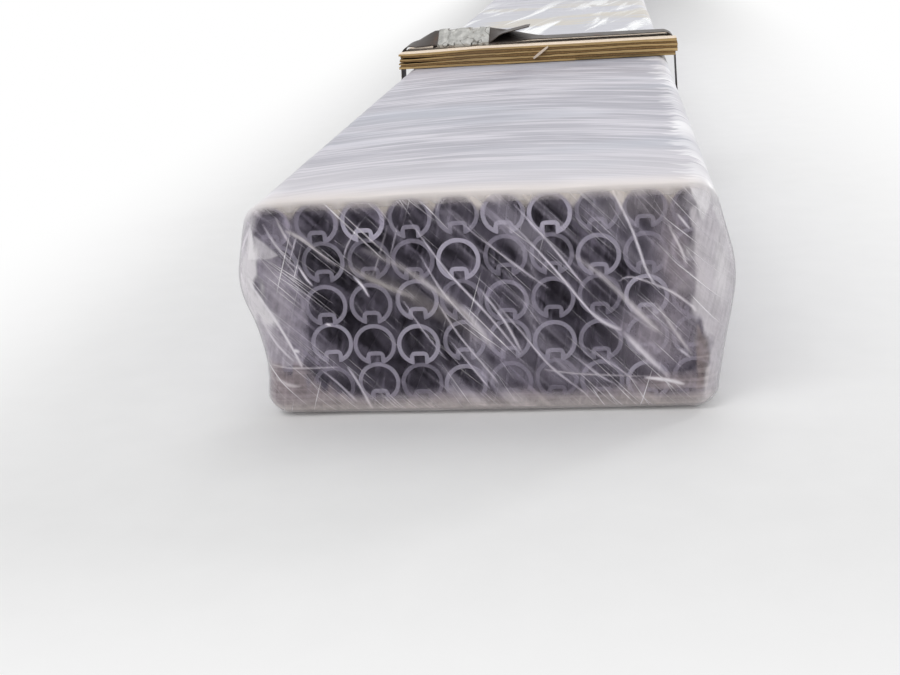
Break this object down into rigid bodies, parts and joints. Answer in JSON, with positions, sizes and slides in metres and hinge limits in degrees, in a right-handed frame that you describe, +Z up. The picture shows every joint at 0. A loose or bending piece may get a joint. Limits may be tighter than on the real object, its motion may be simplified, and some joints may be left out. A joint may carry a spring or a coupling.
{
  "type": "bundle of steel pipes",
  "caption": "Long flat bundle of grooved round steel tubes in layers, wound in stretch film and held by steel bands with crimped seals over plywood battens.",
  "frame": {"origin": "on the ground, under the middle of the bundle", "axes": "+X across the bundle, +Y along the tubes away from the front end, +Z up"},
  "size_m": [0.3068, 6.0404, 0.1767],
  "materials": {
    "tube_steel": "dull galvanised steel, cut ends",
    "wound_film": "many layers of stretch film, milky with fine streaks",
    "end_film": "clear stretched film with creases",
    "plywood": "rough sawn plywood",
    "band_steel": "dark brown-grey waxed steel band",
    "seal_steel": "crimped zinc-coated steel"
  },
  "bodies": {
    "root": {"tube_row_1": "tube_steel", "tube_row_2": "tube_steel", "tube_row_3": "tube_steel", "tube_row_4": "tube_steel", "tube_row_5": "tube_steel", "film_sleeve": "wound_film", "end_film_front": "end_film", "end_film_back": "end_film", "batten_1": "plywood", "batten_2": "plywood", "batten_3": "plywood", "batten_4": "plywood", "band_1": "band_steel", "band_2": "band_steel", "band_3": "band_steel", "band_4": "band_steel", "seal_1": "seal_steel", "seal_2": "seal_steel", "seal_3": "seal_steel", "seal_4": "seal_steel"}
  },
  "joints": []
}
